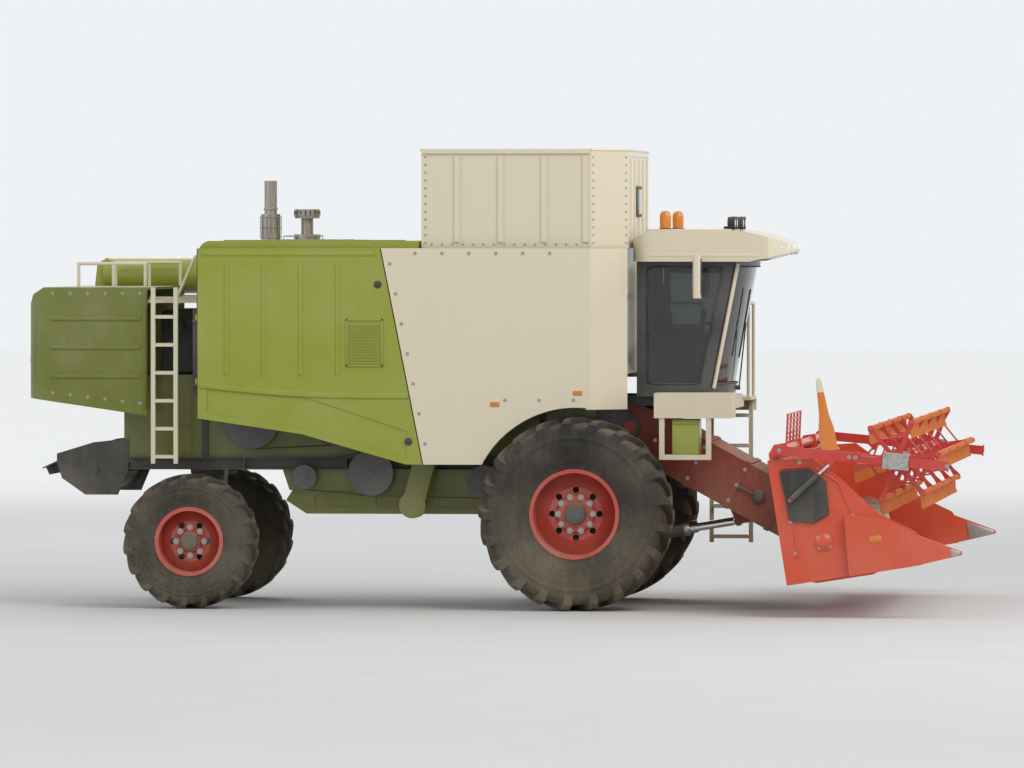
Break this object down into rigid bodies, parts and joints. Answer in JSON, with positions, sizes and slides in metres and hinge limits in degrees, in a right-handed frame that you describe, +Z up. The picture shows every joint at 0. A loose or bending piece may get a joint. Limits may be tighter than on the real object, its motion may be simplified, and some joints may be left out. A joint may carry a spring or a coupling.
{
  "type": "combine harvester",
  "caption": "Self-propelled combine harvester with a raised grain header, tined reel, cab, open grain tank, unloading tube and rear straw chopper.",
  "frame": {"origin": "on the ground under the centre of the whole machine's outline, header and rear hood included", "axes": "+X forward towards the header, +Y to the driver's left, +Z up"},
  "size_m": [9.1394, 6.23, 4.43],
  "materials": {
    "tyre": "matt",
    "wheel_red": "satin",
    "frame_dark": "satin",
    "body_green": "gloss",
    "body_cream": "gloss",
    "engine_grey": "matt",
    "steel": "brushed",
    "panel_green": "gloss",
    "trim_cream": "gloss",
    "cab_dark": "satin",
    "cab_trim": "matt",
    "glass_tinted": "gloss",
    "seat_cloth": "woven",
    "lamp_lens": "gloss",
    "feeder_red": "satin",
    "header_red": "gloss",
    "reel_red": "gloss",
    "cutter_steel": "worn"
  },
  "bodies": {
    "chassis": {"front_axle": "frame_dark", "rear_axle": "frame_dark", "main_frame": "frame_dark", "threshing_body": "body_green", "cleaning_box": "body_green", "chopper_housing": "frame_dark", "rear_hitch": "frame_dark", "engine": "engine_grey", "engine_cover": "panel_green", "exhaust": "steel", "grain_tank": "body_cream", "tank_augers": "steel", "tank_extension": "body_cream", "front_panels": "trim_cream", "rear_hood": "panel_green", "deck_rails": "body_cream", "rear_ladder": "body_cream", "lamps": "lamp_lens", "cab_frame": "cab_dark", "cab_roof": "trim_cream", "cab_glass": "glass_tinted", "cab_seat": "seat_cloth", "cab_console": "cab_trim", "mirrors": "trim_cream", "platforms": "body_cream", "front_ladder": "body_cream", "auger_turret": "body_cream"},
    "front_wheel_left": {"front_tyre_left": "tyre", "front_rim_left": "wheel_red"},
    "front_wheel_right": {"front_tyre_right": "tyre", "front_rim_right": "wheel_red"},
    "rear_knuckle_left": {"knuckle_left": "frame_dark"},
    "rear_knuckle_right": {"knuckle_right": "frame_dark"},
    "rear_wheel_left": {"rear_tyre_left": "tyre", "rear_rim_left": "wheel_red"},
    "rear_wheel_right": {"rear_tyre_right": "tyre", "rear_rim_right": "wheel_red"},
    "steering_rod": {"tie_rod": "steel"},
    "header": {"feeder_house": "feeder_red", "header_wall": "header_red", "header_frame": "header_red", "header_ends": "header_red", "knife": "cutter_steel"},
    "lift_cylinders": {"lift_barrels": "frame_dark"},
    "lift_rams": {"lift_rods": "steel"},
    "header_auger": {"intake_auger": "header_red"},
    "reel_frame": {"reel_arms": "reel_red"},
    "reel_carriages": {"reel_slides": "steel"},
    "reel_rotor": {"reel": "reel_red"},
    "reel_cylinders": {"reel_barrels": "frame_dark"},
    "reel_rams": {"reel_rods": "steel"},
    "door": {"cab_door": "cab_dark", "door_glass": "glass_tinted"},
    "swing_tube": {"unloading_tube": "body_green"},
    "side_cover_right": {"cover_right": "panel_green"},
    "side_cover_left": {"cover_left": "panel_green"},
    "chopper": {"chopper_rotor": "frame_dark"},
    "spreader": {"tailboard": "frame_dark"}
  },
  "joints": [
    {"name": "front_wheel_left_spin", "type": "hinge", "parent": "chassis", "child": "front_wheel_left", "pos_m": [0.77026, 1.38, 0.93], "axis": [0, 1, 0], "continuous": true},
    {"name": "front_wheel_right_spin", "type": "hinge", "parent": "chassis", "child": "front_wheel_right", "pos_m": [0.77026, -1.38, 0.93], "axis": [0, 1, 0], "continuous": true},
    {"name": "steer_left", "type": "hinge", "parent": "chassis", "child": "rear_knuckle_left", "pos_m": [-2.97974, 0.965, 0.65], "axis": [0, 0, 1], "range_deg": [-40, 40]},
    {"name": "steer_right", "type": "hinge", "parent": "chassis", "child": "rear_knuckle_right", "pos_m": [-2.97974, -0.965, 0.65], "axis": [0, 0, 1], "range_deg": [-40, 40]},
    {"name": "rear_wheel_left_spin", "type": "hinge", "parent": "rear_knuckle_left", "child": "rear_wheel_left", "pos_m": [-2.97974, 1.29, 0.65], "axis": [0, 1, 0], "continuous": true},
    {"name": "rear_wheel_right_spin", "type": "hinge", "parent": "rear_knuckle_right", "child": "rear_wheel_right", "pos_m": [-2.97974, -1.29, 0.65], "axis": [0, 1, 0], "continuous": true},
    {"name": "steering_rod_shift", "type": "slide", "parent": "chassis", "child": "steering_rod", "axis": [0, 1, 0], "range_m": [-0.14, 0.14]},
    {"name": "header_lift", "type": "hinge", "parent": "chassis", "child": "header", "pos_m": [1.22026, 0, 1.75], "axis": [0, -1, 0], "range_deg": [-8.5, 12]},
    {"name": "lift_cylinder_tilt", "type": "hinge", "parent": "chassis", "child": "lift_cylinders", "pos_m": [0.97026, 0, 0.62], "axis": [0, -1, 0], "range_deg": [-5.8, 8.1]},
    {"name": "lift_ram_stroke", "type": "slide", "parent": "lift_cylinders", "child": "lift_rams", "axis": [0.9866, 0, 0.1631], "range_m": [-0.16, 0.225]},
    {"name": "header_auger_spin", "type": "hinge", "parent": "header", "child": "header_auger", "pos_m": [3.26776, 0, 0.71253], "axis": [0, 1, 0], "continuous": true},
    {"name": "reel_lift", "type": "hinge", "parent": "header", "child": "reel_frame", "pos_m": [2.85145, 0, 1.58312], "axis": [0, -1, 0], "range_deg": [-8, 20]},
    {"name": "reel_reach", "type": "slide", "parent": "reel_frame", "child": "reel_carriages", "axis": [0.9958, 0, -0.0911], "range_m": [-0.05, 0.3]},
    {"name": "reel_spin", "type": "hinge", "parent": "reel_carriages", "child": "reel_rotor", "pos_m": [3.94557, 0, 1.48305], "axis": [0, 1, 0], "continuous": true},
    {"name": "reel_cylinder_tilt", "type": "hinge", "parent": "header", "child": "reel_cylinders", "pos_m": [2.95123, 0, 1.11294], "axis": [0, -1, 0], "range_deg": [-4.5, 10.9]},
    {"name": "reel_ram_stroke", "type": "slide", "parent": "reel_cylinders", "child": "reel_rams", "axis": [0.7386, 0, 0.6742], "range_m": [-0.057, 0.141]},
    {"name": "door_swing", "type": "hinge", "parent": "chassis", "child": "door", "pos_m": [1.42226, 0.858, 2.7], "axis": [0, 0, 1], "range_deg": [0, 80]},
    {"name": "tube_swing", "type": "hinge", "parent": "chassis", "child": "swing_tube", "pos_m": [1.07026, 1.48, 3], "axis": [0, 0, -1], "range_deg": [0, 100]},
    {"name": "right_cover_swing", "type": "hinge", "parent": "chassis", "child": "side_cover_right", "pos_m": [-2.90374, -1.486, 2.4], "axis": [0, 0, -1], "range_deg": [0, 85]},
    {"name": "left_cover_swing", "type": "hinge", "parent": "chassis", "child": "side_cover_left", "pos_m": [-2.90374, 1.486, 2.4], "axis": [0, 0, 1], "range_deg": [0, 85]},
    {"name": "chopper_spin", "type": "hinge", "parent": "chassis", "child": "chopper", "pos_m": [-3.98974, 0, 1.33], "axis": [0, 1, 0], "continuous": true},
    {"name": "spreader_tilt", "type": "hinge", "parent": "chassis", "child": "spreader", "pos_m": [-4.34174, 0, 1.43], "axis": [0, 1, 0], "range_deg": [-15, 30]}
  ],
  "couplings": [
    {"joint": "steer_right", "follows": "steer_left", "ratio": 1},
    {"joint": "steering_rod_shift", "follows": "steer_left", "m_per_rad": -0.19},
    {"joint": "lift_cylinder_tilt", "follows": "header_lift", "ratio": 0.6605},
    {"joint": "lift_ram_stroke", "follows": "header_lift", "m_per_rad": 1.0601},
    {"joint": "reel_cylinder_tilt", "follows": "reel_lift", "ratio": 0.5326},
    {"joint": "reel_ram_stroke", "follows": "reel_lift", "m_per_rad": 0.3975}
  ]
}
